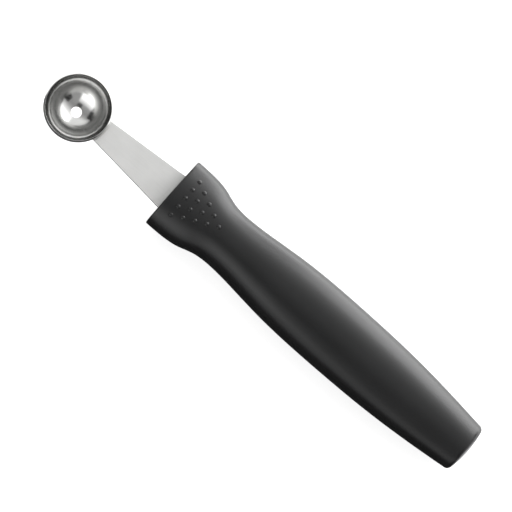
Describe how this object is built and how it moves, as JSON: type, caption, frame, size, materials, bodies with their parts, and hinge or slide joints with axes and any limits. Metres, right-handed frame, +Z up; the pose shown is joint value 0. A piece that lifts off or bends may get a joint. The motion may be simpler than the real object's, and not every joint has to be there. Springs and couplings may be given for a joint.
{
  "type": "melon baller",
  "caption": "Hand scoop that cuts balls of fruit: a small polished hemispherical bowl with a vent hole, on a flat tapered shank set in a moulded soft-grip handle.",
  "frame": {"origin": "middle of the tool's footprint, on the surface that it lies on", "axes": "+X along the tool from the bowl to the handle's tail, +Y across it, +Z up, the way the bowl opens"},
  "size_m": [0.1828, 0.0266, 0.0205],
  "materials": {
    "bowl": "mirror-polished stainless steel",
    "shank": "satin stainless steel",
    "weld": "dressed weld metal",
    "handle_core": "as moulded",
    "handle_grip": "satin black soft grip"
  },
  "bodies": {
    "root": {"bowl": "bowl", "shank": "shank", "upper_weld": "weld", "lower_weld": "weld", "handle_core": "handle_core", "handle_grip": "handle_grip"}
  },
  "joints": []
}
